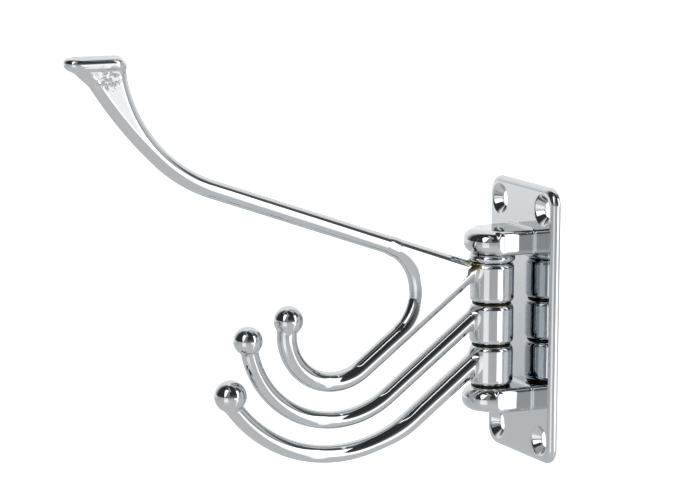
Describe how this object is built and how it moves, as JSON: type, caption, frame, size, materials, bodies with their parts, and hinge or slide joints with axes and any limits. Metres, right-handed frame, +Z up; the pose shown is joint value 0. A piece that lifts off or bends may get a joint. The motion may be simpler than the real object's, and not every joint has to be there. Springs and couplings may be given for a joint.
{
  "type": "triple coat hook",
  "caption": "Wall plate with lugs and a vertical pin that carries a hat and coat hook and swinging coat hooks with ball ends.",
  "frame": {"origin": "the middle of the plate's back face, which lies on the wall", "axes": "+Y into the wall, so the arms point to -Y at rest; +Z up along the pin's axis; +X to the right for a person who looks at the plate from the wall's side"},
  "size_m": [0.038, 0.143, 0.1223],
  "materials": {
    "plate": "polished chrome plate on a cast plate",
    "pin": "plated pin, ends riveted and dressed flush",
    "collar": "polished chrome plate",
    "washers": "plain rolled brass",
    "hat_arm": "polished chrome plate on a casting",
    "middle_arm": "polished chrome plate on a casting",
    "lower_arm": "polished chrome plate on a casting"
  },
  "bodies": {
    "plate": {"back_plate": "plate", "pivot_pin": "pin", "bead_collar": "collar", "upper_washer": "washers", "middle_washer": "washers", "lower_washer": "washers"},
    "hat_arm": {"hat_arm": "hat_arm"},
    "middle_arm": {"middle_arm": "middle_arm"},
    "lower_arm": {"lower_arm": "lower_arm"}
  },
  "joints": [
    {"name": "hat_arm_swing", "type": "hinge", "parent": "plate", "child": "hat_arm", "pos_m": [0, -0.0119, 0], "axis": [0, 0, 1], "range_deg": [-90, 90]},
    {"name": "middle_arm_swing", "type": "hinge", "parent": "plate", "child": "middle_arm", "pos_m": [0, -0.0119, 0], "axis": [0, 0, 1], "range_deg": [-90, 90]},
    {"name": "lower_arm_swing", "type": "hinge", "parent": "plate", "child": "lower_arm", "pos_m": [0, -0.0119, 0], "axis": [0, 0, 1], "range_deg": [-90, 90]}
  ]
}
